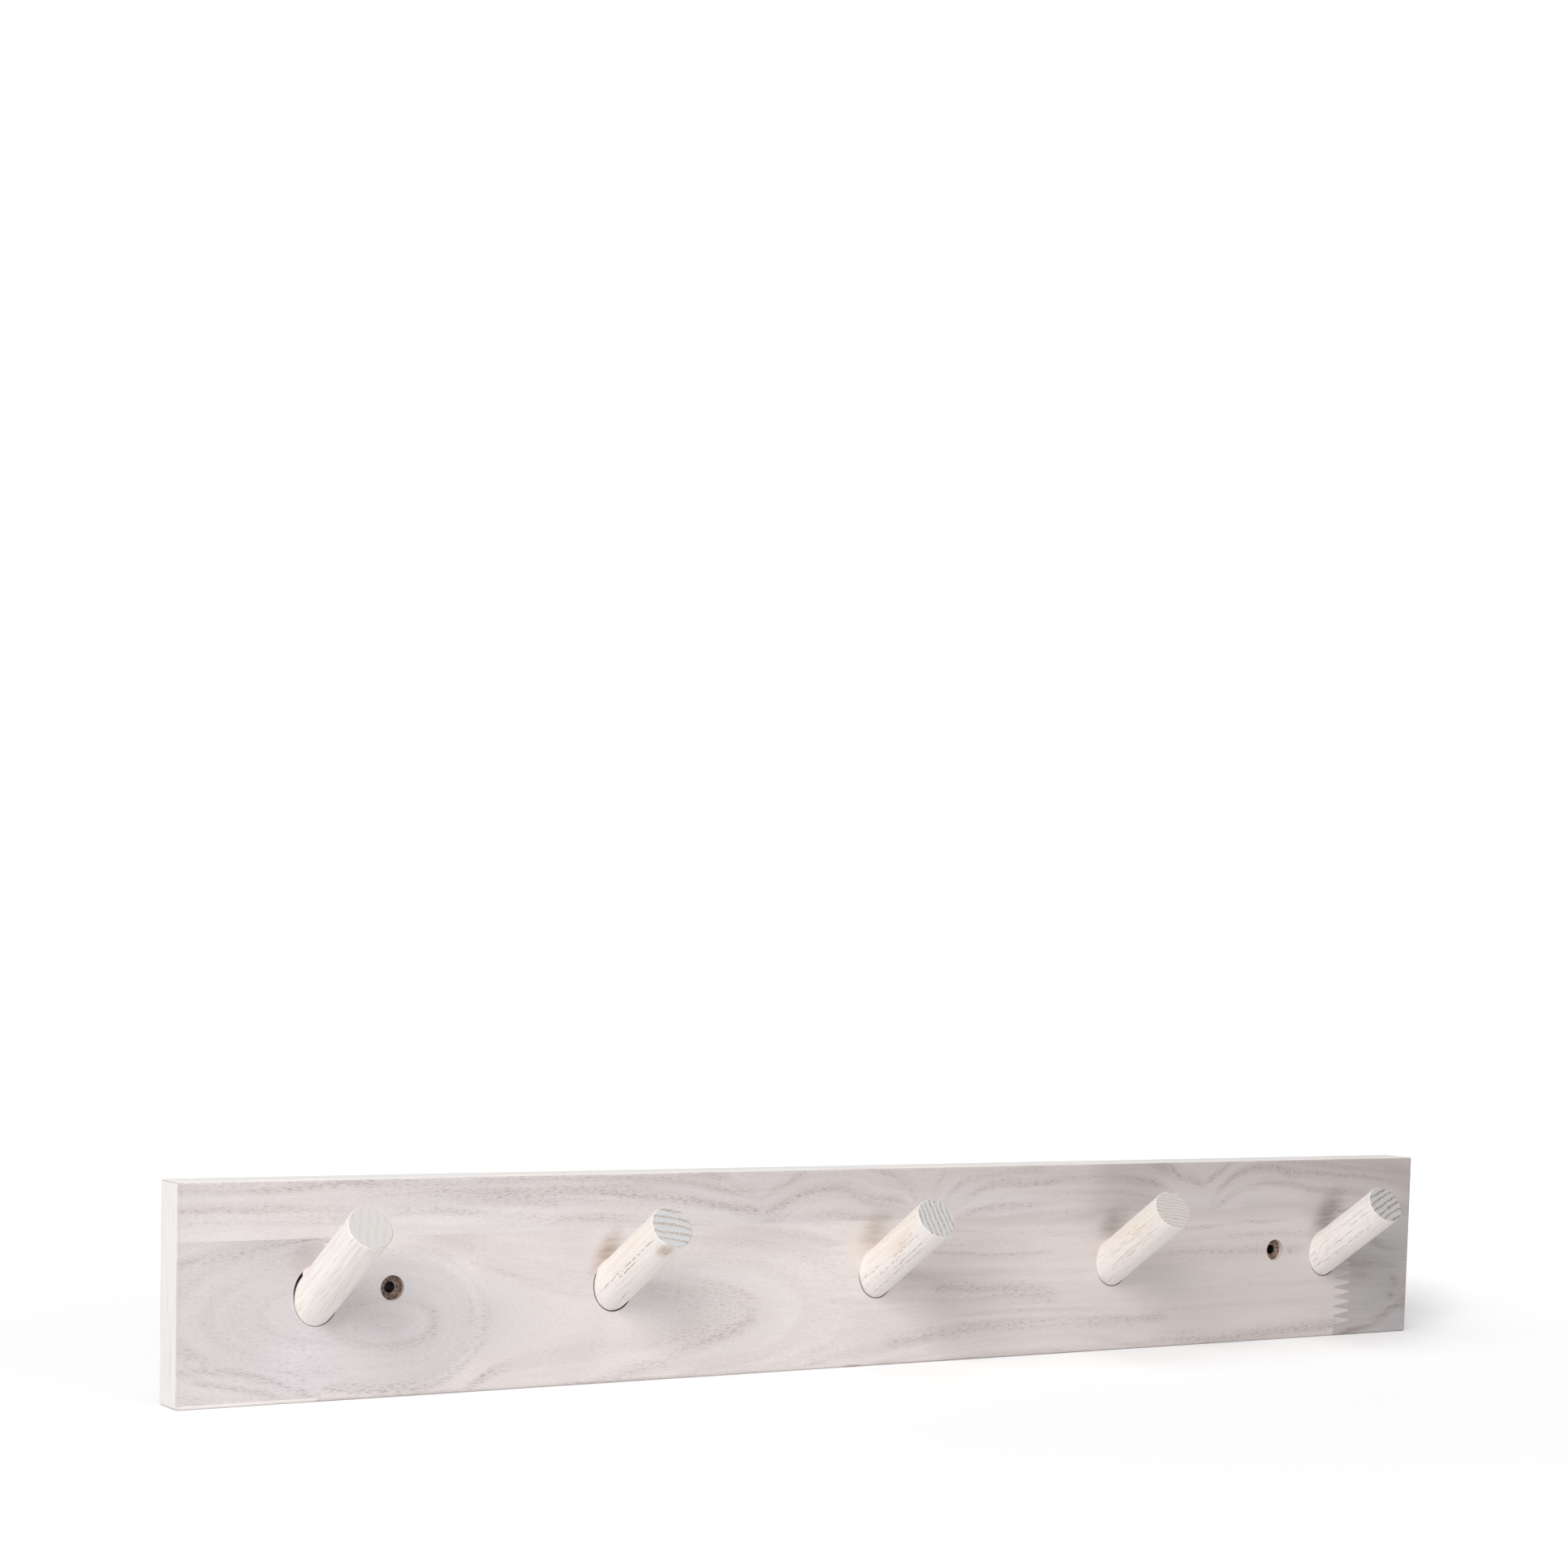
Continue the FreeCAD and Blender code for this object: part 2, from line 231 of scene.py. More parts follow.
def limed_grain(tree, place, rings, growth, pale, deep, clear=1.0):
    """Colour of limed wood: tones along the rings, level fibres, faint or clear, and dashes of pores."""
    along, _, into = place
    tone = mottle(tree, (along, rings, into), RING_BLOTCH)
    fibre = mottle(tree, place, FIBRE, 3.0, 0.65)
    band = reckon(tree, "MULTIPLY", growth, fade(tree, tone, 0.30, 0.60, 0.5, 1.0))
    edge = reckon(tree, "MULTIPLY_ADD", band, -0.16, 0.63)
    pores = fade(tree, mottle(tree, place, PORE_DASH, 2.0, 0.6), edge, reckon(tree, "ADD", edge, 0.10))
    shade = reckon(tree, "MULTIPLY_ADD", fibre, 0.5, reckon(tree, "MULTIPLY_ADD", tone, 0.5, -0.5))
    shade = reckon(tree, "MULTIPLY_ADD", shade, clear, 0.3)
    fleck = reckon(tree, "SUBTRACT", mottle(tree, place, LIME_FLECK), 0.5)
    shade = reckon(tree, "MULTIPLY_ADD", fleck, fade(tree, along, 330.0, 560.0, 0.7, 0.15), shade)
    shade = reckon(tree, "MULTIPLY_ADD", band, 0.17, shade)
    depth = reckon(tree, "MULTIPLY_ADD", band, 0.46, 0.14)
    colour = wash(tree, reckon(tree, "MULTIPLY", pores, depth), wash(tree, shade, pale, deep), PORE)
    return colour, pores, fibre


PEG_RADIUS = mounts["peg_1_hang"]["dims"]["r_mm"]
SOCKET_GAP = 0.4
SOCKET_RADIUS = PEG_RADIUS + SOCKET_GAP
SHADOW_SLANT = 0.45
FRONT_SKIN = (1.5, 0.5)
SHADOW_CLOUD = (11.0, 2.0, 4.0)
# Slack is how far the painted slit of shadow at a peg's foot lies off its middle, to the right and
# down, and gap its colour. A rub is painted shadow above the foot, warm like light bounced off the
# peg, laid on by its share, from its place beside and above the foot out to its reach.
PEG_MARKS = {
    1: {"slack": (-0.20, -0.90), "gap": card(20, 16, 14),
        "painted_shadow": card(160, 130, 108), "share": 0.2, "shadow_at": (-6.0, -18.0), "reach": (10.0, 15.0)},
    2: {"slack": (-0.15, 0.35), "gap": card(44, 34, 28),
        "painted_shadow": card(150, 116, 80), "share": 0.55, "shadow_at": (-4.0, -14.0), "reach": (9.0, 16.0)},
    3: {"slack": (-0.30, 0.20), "gap": card(150, 118, 92),
        "painted_shadow": card(150, 122, 98), "share": 0.34, "shadow_at": (-2.0, -20.0), "reach": (12.0, 17.0)},
    4: {"slack": (-0.10, 0.15), "gap": card(150, 134, 122),
        "painted_shadow": card(104, 84, 68), "share": 0.42, "shadow_at": (0.0, -20.0), "reach": (13.0, 12.0)},
    5: {"slack": (0.00, 0.20), "gap": card(120, 108, 100),
        "painted_shadow": card(84, 72, 64), "share": 0.52, "shadow_at": (2.0, -21.0), "reach": (13.0, 18.0)},
}


def peg_line(number):
    """A peg's axis, the middle of its foot on the face, and the middle of its tip, in metres."""
    hang = mounts[f"peg_{number}_hang"]
    axis = Vector(hang["axis"])
    half = axis * hang["dims"]["length_mm"] / METRE / 2
    return axis, Vector(hang["pos_m"]) - half, Vector(hang["pos_m"]) + half


def painted_peg_shadows(tree, place, colour):
    """Painted shadow above each peg, warm like light bounced off it, and a painted slit of shadow at its
    foot on the side where its socket came out too wide.
    """
    along, down, into = place
    front = fade(tree, into, *FRONT_SKIN)
    patchy = fade(tree, mottle(tree, place, SHADOW_CLOUD), 0.32, 0.66, 0.7, 1.15)
    patchy = reckon(tree, "MULTIPLY", patchy, front)
    for number, marks in PEG_MARKS.items():
        axis, foot, _ = peg_line(number)
        foot_along = foot.x * METRE - BOARD_LEFT
        foot_down = BOARD_TOP - foot.z * METRE
        shadow_along, shadow_down = foot_along + marks["shadow_at"][0], foot_down + marks["shadow_at"][1]
        # Painted shadow above the foot, slanted and broken up, in a brown that stands for shade warmed
        # by bounced light.
        lower = reckon(tree, "SUBTRACT", down, shadow_down)
        slanted = reckon(tree, "MULTIPLY_ADD", lower, SHADOW_SLANT, along)
        painted_shadow = smudge(tree, (slanted, down), (shadow_along, shadow_down), marks["reach"])
        painted_shadow = reckon(tree, "MULTIPLY", reckon(tree, "MULTIPLY", painted_shadow, marks["share"]), patchy)
        colour = wash(tree, painted_shadow, colour, marks["painted_shadow"])
        # Painted shadow in the slit: the socket's mouth, shifted by the slack and given the gap colour,
        # shows as a dark crescent beside the foot.
        aside, below = marks["slack"]
        twice_mouth = (2 * SOCKET_RADIUS, 2 * SOCKET_RADIUS / math.sqrt(1 - axis.z ** 2))
        slit_shadow = smudge(tree, place, (foot_along + aside, foot_down + below), twice_mouth)
        slit_shadow = reckon(tree, "MULTIPLY", fade(tree, slit_shadow, 0.49, 0.51), front)
        colour = wash(tree, slit_shadow, colour, marks["gap"])
    return colour


LIME = card(246, 243, 241)
SCREWS = [mounts[f"{side}_screw_hole"]["pos_m"][0] * METRE - BOARD_LEFT for side in ("left", "right")]
RECESS_RADIUS = mounts["left_screw_recess"]["dims"]["r_mm"]
RECESS_DEPTH = mounts["left_screw_recess"]["dims"]["length_mm"]
OUTER_SKIN = 1.5
SKIN_FADE = 0.7


def drilled_walls(tree, place, colour):
    """Bare wood with painted light and shade in the holes: recesses, the right one lit, shaded floors
    and bores, and slits at the pegs.
    """
    along, down, into = place
    ends = within(tree, along, OUTER_SKIN, BOARD_LENGTH - OUTER_SKIN, SKIN_FADE)
    sides = within(tree, down, OUTER_SKIN, BOARD_HEIGHT - OUTER_SKIN, SKIN_FADE)
    inside = reckon(tree, "MULTIPLY", reckon(tree, "MULTIPLY", sides, ends),
                    fade(tree, into, BOARD_DEPTH - 0.2, BOARD_DEPTH - 0.8))
    torn = fade(tree, mottle(tree, place, (0.9, 0.9, 2.0), 1.0), 0.30, 0.70)
    # Recess floor: torn fibres, and darker partly as painted shade.
    shoulder = wash(tree, torn, card(92, 76, 67), card(158, 138, 125))
    # Painted light: the wood of the right-hand recess is lighter.
    right_recess_lit = fade(tree, along, 300.0, 400.0)
    cut_and_lit = wash(tree, right_recess_lit, card(190, 170, 154), card(222, 208, 194))
    recess_wood_and_shade = wash(tree, fade(tree, into, RECESS_DEPTH - 0.9, RECESS_DEPTH - 0.2), cut_and_lit, shoulder)
    # Painted shade: the bore below each recess is near-black.
    bore_shade = fade(tree, into, RECESS_DEPTH + 0.1, RECESS_DEPTH + 0.6)
    recess_wood_and_shade = wash(tree, bore_shade, recess_wood_and_shade, card(22, 19, 18))
    off_screw = reckon(tree, "MINIMUM", *(
        reckon(tree, "ABSOLUTE", reckon(tree, "SUBTRACT", along, screw)) for screw in SCREWS))
    socket = fade(tree, off_screw, RECESS_RADIUS + 2.5, RECESS_RADIUS + 6.5)
    # Painted shade in the slits round the pegs: lime above and darker towards the bottom, and near-black
    # by the first two pegs.
    lime_and_shade = wash(tree, fade(tree, down, 46.0, 58.0), LIME, card(170, 152, 140))
    past_second_peg = fade(tree, along, 260.0, 300.0)
    socket_shade = wash(tree, past_second_peg, card(26, 20, 17), lime_and_shade)
    behind = reckon(tree, "MAXIMUM", fade(tree, into, 0.3, 1.2),
                    reckon(tree, "MULTIPLY", socket, fade(tree, into, 0.02, 0.2)))
    wall = wash(tree, socket, recess_wood_and_shade, socket_shade)
    return wash(tree, reckon(tree, "MULTIPLY", inside, behind), colour, wall)


END_GRAIN = (40.0, 30.0, 0.5)


def limed_edges(tree, place, colour):
    """Lime lies thick on the top and the ends of the board, over fine lines of end grain; painted shade
    dims the rounded left arris.
    """
    along, down, _ = place
    line = fade(tree, mottle(tree, place, END_GRAIN, 3.0), 0.40, 0.70, 0.0, 0.5)
    white = wash(tree, line, LIME, card(214, 203, 196))
    # Painted shade: the rounded left front arris is darkened against the highlight it catches.
    left_arris_shade = fade(tree, along, 1.6, 0.8, 0.0, 0.3)
    colour = wash(tree, left_arris_shade, colour, card(180, 170, 166))
    top = fade(tree, down, 0.6, 0.1)
    ends = reckon(tree, "MAXIMUM", fade(tree, along, 0.15, 0.02),
                  fade(tree, along, BOARD_LENGTH - 0.4, BOARD_LENGTH - 0.05))
    return wash(tree, reckon(tree, "MAXIMUM", top, ends), colour, white)


LIME_SHEEN = 0.25


def finish_wood(tree, shader, colour, pores, fibre):
    """Matt lime wash: fibres stand a hair proud and pores sink."""
    feed(tree, shader.inputs["Base Color"], colour)
    shader.inputs["Specular IOR Level"].default_value = LIME_SHEEN
    feed(tree, shader.inputs["Roughness"], reckon(tree, "MULTIPLY_ADD", pores, 0.2, 0.6))
    bump = tree.nodes.new("ShaderNodeBump")
    bump.inputs["Strength"].default_value = 0.2
    bump.inputs["Distance"].default_value = 0.0002
    feed(tree, bump.inputs["Height"],
         reckon(tree, "SUBTRACT", reckon(tree, "MULTIPLY", fibre, 0.5), pores))
    tree.links.new(bump.outputs[0], shader.inputs["Normal"])


def finish_board(tree, shader, place, colour, pores, fibre):
    """Last coats of a piece of the board, over its grain, with painted shade and shadow at the pegs, in
    the holes and on the left arris.
    """
    colour = drilled_walls(tree, place, painted_peg_shadows(tree, place, colour))
    finish_wood(tree, shader, limed_edges(tree, place, colour), pores, fibre)


def dress(node, material):
    """Gives a piece of the frame its finish."""
    frame["nodes"][node].material_slots[0].material = material


STAVE_LINES = [
    (2.5, 0.8, [(-12, 3), (16, 2), (45, 3), (70, 2), (95, 3.5)]),
    (3.0, 0.6, [(130, 2), (190, 2), (268, 2.5)]),
    (2.0, 0.6, [(120, 11), (150, 12), (182, 13)]),
    (4.5, 0.7, [(78, 4), (120, 5), (150, 8), (185, 7.5), (228, 9)]),
    (3.0, 0.7, [(-12, 14.5), (35, 13), (60, 14.5), (90, 17)]),
    (1.2, 0.5, [(-12, 19), (40, 17.5), (80, 20)]),
    (2.5, 0.65, [(92, 14.5), (112, 13.5), (130, 16), (155, 18.5), (190, 19.5), (218, 18)]),
    (2.2, 0.9, [(192, 8.5), (235, 12.5), (265, 16.5), (288, 20)]),
    (2.0, 0.8, [(222, 2), (250, 5), (270, 9.5), (287, 13)]),
    (1.6, 0.8, [(281, 14.5), (293, 8.5), (303, 3), (310, 0)]),
    (2.2, 0.8, [(281, 22), (298, 15.5), (312, 11.5), (325, 10.5), (345, 14.5), (366, 17)]),
    (2.2, 0.6, [(279, 26), (300, 21.5), (315, 20.5), (340, 23.5), (362, 25)]),
    (1.4, 0.65, [(338, -1), (352, 2), (362, 7), (374, 16)]),
    (1.2, 0.6, [(378, 20), (384, 9), (394, -1)]),
    (1.8, 0.75, [(388, 19), (395, 10), (404, 5), (425, 3), (452, 1.5)]),
    (2.0, 0.8, [(398, 21), (411, 11), (422, 8.5), (445, 8.5), (470, 7), (505, 8), (530, 14)]),
    (2.5, 0.65, [(398, 26), (420, 20.5), (440, 19.5), (462, 17), (500, 16), (525, 18.5)]),
    (1.6, 0.5, [(426, 26), (460, 24.5), (498, 24)]),
    (2.8, 0.8, [(514, 0), (540, 7.5), (557, 14)]),
    (2.0, 0.85, [(549, 15.5), (561, 7), (574, -2)]),
    (2.2, 0.8, [(556, 22), (569, 11), (580, 5), (592, 3), (615, 7), (650, 9), (712, 15)]),
    (2.2, 0.7, [(557, 26), (574, 18.5), (587, 14), (602, 12), (630, 16.5), (670, 18)]),
    (1.8, 0.4, [(574, 26), (600, 24), (628, 25)]),
    (2.2, 0.6, [(598, 1), (650, 3.5), (712, 9)]),
]
STAVE_COURSE = [
    (-12, 13), (60, 14), (120, 12), (200, 13.5), (235, 17), (265, 21), (283, 26), (298, 16), (312, 11.5),
    (325, 10.5), (345, 14), (366, 19), (377, 25), (388, 16), (400, 9.5), (422, 6.5), (450, 6), (500, 7),
    (530, 13), (553, 23), (562, 13.5), (574, 5), (590, 1.5), (615, 5), (650, 8), (712, 14),
]
# How brown the stave is along its length; the peak at 510 mm is painted shadow above the fourth peg.
STAVE_TONE = [
    (0, 0.24), (40, 0.06), (150, 0.06), (220, 0.16), (300, 0.32), (420, 0.38), (470, 0.44), (510, 0.85),
    (540, 0.56), (625, 0.6), (665, 0.7), (700, 1.0),
]
stave_finish, tree, shader, place = new_finish("limed_upper_stave")
along, down, _ = place
grain = wander(tree, place)
rings = reckon(tree, "SUBTRACT", grain[1], bent_line(tree, along, STAVE_COURSE))
growth = streaks(tree, grain, STAVE_LINES)
near_top = fade(tree, down, 20.0, 3.0, 0.0, 0.22)
tone_and_shade = reckon(tree, "ADD", bent_line(tree, along, STAVE_TONE), near_top)
pale = wash(tree, tone_and_shade, card(243, 236, 235), card(204, 195, 192))
deep = wash(tree, tone_and_shade, card(192, 183, 183), card(149, 138, 135))
clear = fade(tree, along, 420.0, 580.0, 0.85, 0.65)
colour, pores, fibre = limed_grain(tree, grain, rings, growth, pale, deep, clear)
finish_board(tree, shader, place, colour, pores, fibre)
dress("upper_stave", stave_finish)

# Left end block: a short offcut, finger-jointed to the next block and glued under the stave.
# The same limed hardwood, from a bluer, greyer stick whose growth lines bow towards the left end.
HEART_ALONG, HEART_DOWN = 70.0, 57.0
RING_STRETCH = 0.38
LEFT_END_LINES = [
    (3.0, 0.7, [(-12, 36), (20, 31.5), (40, 27.5), (58, 23)]),
    (2.5, 0.5, [(2, 47), (25, 39.5), (45, 33), (64, 28)]),
    (1.0, 1.0, [(38, 30.5), (52, 26), (68, 24)]),
    (4.0, 0.4, [(-12, 55), (20, 47), (44, 39)]),
    (3.5, 0.4, [(-12, 66), (20, 63), (44, 62)]),
    (2.5, 0.6, [(-12, 69), (25, 75), (45, 80), (66, 91)]),
    (2.0, 0.8, [(-12, 77.5), (22, 80.5), (42, 85), (66, 94)]),
    (1.6, 0.7, [(-12, 83.5), (20, 86), (38, 90), (54, 94)]),
    (1.2, 0.5, [(-12, 89), (15, 91), (36, 94)]),
]


def ring_radius(tree, run, rise):
    """Radius of a growth ring, from two lengths that stand square to each other."""
    squares = reckon(tree, "ADD", reckon(tree, "POWER", run, 2.0), reckon(tree, "POWER", rise, 2.0))
    return reckon(tree, "SQRT", squares)


end_finish, tree, shader, place = new_finish("limed_left_end_block")
grain = wander(tree, place)
by_joint = smudge(tree, place, (56.0, 74.0), (22.0, 16.0))
growth = reckon(tree, "MAXIMUM", streaks(tree, grain, LEFT_END_LINES),
                fade(tree, by_joint, 0.0, 1.0, 0.35, 0.6))
run = reckon(tree, "MULTIPLY", reckon(tree, "SUBTRACT", grain[0], HEART_ALONG), RING_STRETCH)
rings = ring_radius(tree, run, reckon(tree, "SUBTRACT", grain[1], HEART_DOWN))
pale = wash(tree, fade(tree, place[1], 70.0, 92.0), card(226, 220, 220), card(240, 233, 232))
pale = wash(tree, smudge(tree, place, (56.0, 78.0), (24.0, 20.0)), pale, card(244, 238, 243))
colour, pores, fibre = limed_grain(tree, grain, rings, growth, pale, card(180, 173, 177), 0.7)
finish_board(tree, shader, place, colour, pores, fibre)
dress("left_end_block", end_finish)

# Left block: the long plain-sawn block behind the first two pegs, jointed at both ends.
# The saw grazed the heart of the log near the first screw hole, so its growth rings show there as
# nested ovals that draw out to the right. RING_TONE says how dark the wood is by its ring's radius.
HEART_LINE = [(60, 62), (140, 63), (285, 66), (340, 66)]
HEART_DEPTH = [
    (60, -16), (100, 2), (113, 8), (132, 24), (141, 30), (150, 33), (190, 36), (235, 37.8), (262, 39.5),
    (285, 41.5), (340, 52),
]
RING_TONE = [
    (0, 0.3), (8, 0.3), (11, 0.7), (14, 0.3), (24, 0.25), (30, 0.9), (33, 0.2), (35, 0.4), (36.5, 0.1),
    (38.5, 0.7), (40.5, 0.8), (42, 0.15), (46, 0.2), (47.5, 0.6), (49.5, 0.1), (52, 0.65), (54, 0.15),
    (57, 0.5), (60, 0.1), (64, 0.5), (70, 0.2),
]
RINGS_SHOWN = [(60, 1), (136, 1), (160, 0.4), (205, 0.3), (240, 0.65), (340, 0.7)]
LEFT_LINES = [
    (4.0, 0.8, [(190, 97), (222, 88.5), (245, 82), (265, 75), (286, 66)]),
    (3.0, 0.6, [(228, 46), (250, 49), (270, 55), (286, 65)]),
    (2.0, 0.5, [(96, 29), (120, 33), (145, 41), (170, 50), (200, 56)]),
    (1.6, 0.4, [(120, 28), (150, 34), (185, 43), (220, 47)]),
    (2.2, 0.6, [(278, 97), (300, 90), (322, 85.5), (345, 83)]),
    (1.8, 0.6, [(296, 97), (320, 92), (345, 90)]),
]


def blotches(tree, place, *ovals):
    """Soft oval marks together, each with its middle and its reach in mm."""
    marks = 0.0
    for middle, reach in ovals:
        marks = reckon(tree, "MAXIMUM", smudge(tree, place, middle, reach), marks)
    return marks


left_finish, tree, shader, place = new_finish("limed_left_block")
grain = wander(tree, place)
along, drawn, _ = grain
rise = reckon(tree, "SUBTRACT", drawn, bent_line(tree, along, HEART_LINE))
rings = ring_radius(tree, bent_line(tree, along, HEART_DEPTH), rise)
shown = bent_line(tree, along, RINGS_SHOWN)
lower_half = reckon(tree, "MAXIMUM", fade(tree, along, 150.0, 200.0),
                    fade(tree, drawn, 44.0, 64.0, 0.4, 1.0))
growth = reckon(tree, "MULTIPLY", bent_line(tree, rings, RING_TONE), shown)
growth = reckon(tree, "MULTIPLY", growth, lower_half)
growth = reckon(tree, "MAXIMUM", growth, streaks(tree, grain, LEFT_LINES))
heartwood = reckon(tree, "MAXIMUM", fade(tree, rings, 35.0, 23.0),
                   smudge(tree, place, (146.0, 63.0), (36.0, 24.0)))
darker_patches = blotches(tree, place, ((285.0, 28.0), (60.0, 24.0)), ((128.0, 26.0), (40.0, 14.0)))
by_heart = smudge(tree, place, (168.0, 60.0), (50.0, 60.0))
darker_patches = reckon(tree, "MAXIMUM", darker_patches, fade(tree, by_heart, 0.0, 0.4, 0.0, 0.55))
pale = wash(tree, heartwood, card(246, 239, 237), card(231, 226, 227))
pale = wash(tree, darker_patches, pale, card(230, 222, 219))
deep = wash(tree, heartwood, card(194, 184, 182), card(188, 181, 184))
clear = reckon(tree, "ADD", fade(tree, heartwood, 0.0, 1.0, 0.75, 0.55),
               fade(tree, along, 240.0, 300.0, 0.0, 0.4))
colour, pores, fibre = limed_grain(tree, grain, rings, growth, pale, deep, clear)
finish_board(tree, shader, place, colour, pores, fibre)
dress("left_block", left_finish)

# Right block: the other long block, behind the third and fourth pegs, with the strip below it.
# Quarter-sawn hardwood, limed: straight lines that lie nearly level, browner towards the right.
RINGS_MIDDLE = 66.0
RIGHT_SPREAD = [(310, 1.25), (340, 1.1), (440, 0.8), (480, 0.85), (540, 1.15), (600, 1.1), (665, 1.0)]
RIGHT_LINES = [
    (1.4, 0.5, [(390, 31), (430, 32), (470, 33.5)]),
    (1.8, 0.5, [(380, 38), (410, 38), (445, 39.5)]),
    (1.2, 0.7, [(376, 40.5), (400, 43), (425, 43.5), (458, 44)]),
    (3.0, 0.6, [(358, 50), (380, 54), (395, 60), (412, 62)]),
    (5.0, 0.7, [(380, 58), (410, 61), (436, 63), (462, 66)]),
    (3.2, 0.7, [(352, 85), (395, 81), (440, 79), (480, 79.5), (534, 79)]),
    (1.4, 0.5, [(396, 73), (440, 73), (486, 74)]),
    (1.2, 0.5, [(340, 94.2), (430, 93.7), (534, 92.5)]),
    (1.2, 0.8, [(524, 34), (552, 33.5), (575, 32.5), (620, 31)]),
    (1.6, 0.6, [(541, 41), (580, 39), (605, 39), (634, 41)]),
    (3.2, 0.7, [(510, 48), (545, 47), (580, 47.5), (626, 47)]),
    (1.2, 0.35, [(528, 66), (580, 65), (640, 67)]),
    (1.4, 0.35, [(528, 76), (580, 75), (640, 74)]),
    (3.0, 0.8, [(516, 92.5), (545, 91), (565, 92.5), (590, 91), (615, 90), (656, 87.5)]),
]
right_finish, tree, shader, place = new_finish("limed_right_block")
along, down, _ = place
grain = wander(tree, place)
growth = streaks(tree, grain, RIGHT_LINES)
rings = reckon(tree, "DIVIDE", reckon(tree, "SUBTRACT", grain[1], RINGS_MIDDLE),
               bent_line(tree, along, RIGHT_SPREAD))
pale = wash(tree, fade(tree, along, 330.0, 580.0), card(244, 236, 234), card(227, 219, 217))
# Painted shade to the right of and below the third peg.
darker_patches = reckon(tree, "MULTIPLY", smudge(tree, place, (405.0, 56.0), (52.0, 70.0)), 0.7)
pale = wash(tree, darker_patches, pale, card(216, 207, 204))
under_stave = reckon(tree, "MULTIPLY", fade(tree, down, 34.0, 25.0),
                     fade(tree, along, 370.0, 400.0, 0.0, 0.5))
pale = wash(tree, under_stave, pale, card(198, 189, 186))
# Painted shadow of the fifth peg, beside the joint.
by_joint = reckon(tree, "MULTIPLY", smudge(tree, place, (648.0, 55.0), (18.0, 16.0)), 0.7)
pale = wash(tree, by_joint, pale, card(170, 162, 160))
clear = fade(tree, along, 440.0, 540.0, 0.9, 0.7)
colour, pores, fibre = limed_grain(tree, grain, rings, growth, pale, card(184, 173, 169), clear)
cream = reckon(tree, "MULTIPLY", smudge(tree, place, (338.0, 36.0), (24.0, 18.0)), 0.5)
colour = wash(tree, cream, colour, card(246, 237, 226))
arris = reckon(tree, "MULTIPLY", smudge(tree, place, (437.0, 95.2), (130.0, 1.6)), 0.3)
chip = reckon(tree, "MULTIPLY", smudge(tree, place, (337.0, 95.0), (9.0, 2.0)), 0.6)
colour = wash(tree, reckon(tree, "MAXIMUM", arris, chip), colour, card(146, 116, 100))
finish_board(tree, shader, place, colour, pores, fibre)
dress("right_block", right_finish)
dress("right_strip", right_finish)

# Right end block: a dark blue-grey offcut that closes the row, finger-jointed on its left.
# The lime wash lies thinner on it and on the strip below, so they stay the darkest pieces of the board.
END_RINGS_MIDDLE = 72.0
RIGHT_END_SPREAD = [(640, 1.2), (712, 0.7)]
RIGHT_END_LINES = [
    (2.5, 0.7, [(664, 44), (676, 46), (688, 52), (712, 57)]),
    (3.0, 0.6, [(645, 57), (662, 56), (678, 57), (696, 62)]),
    (2.5, 0.5, [(655, 70), (664, 64), (674, 63)]),
    (3.0, 0.4, [(645, 80), (664, 80), (684, 78)]),
    (2.6, 1.0, [(648, 95), (668, 90.5), (682, 86), (692, 80.5), (712, 76)]),
]
close_finish, tree, shader, place = new_finish("limed_right_end_block")
grain = wander(tree, place)
hook = blotches(tree, grain, ((690.0, 66.0), (6.0, 7.0)), ((688.0, 74.0), (8.0, 6.0)))
growth = reckon(tree, "MAXIMUM", streaks(tree, grain, RIGHT_END_LINES), hook)
rings = reckon(tree, "DIVIDE", reckon(tree, "SUBTRACT", grain[1], END_RINGS_MIDDLE),
               bent_line(tree, grain[0], RIGHT_END_SPREAD))
olive = blotches(tree, place, ((700.0, 72.0), (14.0, 14.0)), ((666.0, 62.0), (14.0, 9.0)))
pale = wash(tree, reckon(tree, "MULTIPLY", olive, 0.7), card(200, 195, 195), card(190, 181, 174))
colour, pores, fibre = limed_grain(tree, grain, rings, growth, pale, card(146, 139, 140))
finish_board(tree, shader, place, colour, pores, fibre)
dress("right_end_block", close_finish)
dress("right_end_strip", close_finish)

# Edge strips: a sliver of the next glue-up's sticks, left along the bottom by the rip saw.
# Butted end to end and limed with the rest: a near-white one at the left, then a darker one.
STRIP_STREAK = (60.0, 1.5, 8.0)
STRIPS = [
    ("left_end_strip", card(246, 241, 239), card(230, 223, 221)),
    ("left_strip", card(234, 226, 224), card(200, 191, 189)),
]
for node, pale, deep in STRIPS:
    strip_finish, tree, shader, place = new_finish("limed_" + node)
    grain = wander(tree, place)
    growth = mottle(tree, place, STRIP_STREAK)
    colour, pores, fibre = limed_grain(tree, grain, grain[1], growth, pale, deep)
    finish_board(tree, shader, place, colour, pores, fibre)
    dress(node, strip_finish)

# Pegs: ash dowels, cut square, limed and glued into slanted blind holes.
# Coarse early-wood pores show on the sawn tips as rows of dots, and along the flanks as a few rows
# of thin brown dashes where the lime is thin.
ROW_SWAY = 3.0
ROW_HALF = 0.42
ROW_RUN_OUT = 3.0
ROW_TAPER = 7.0
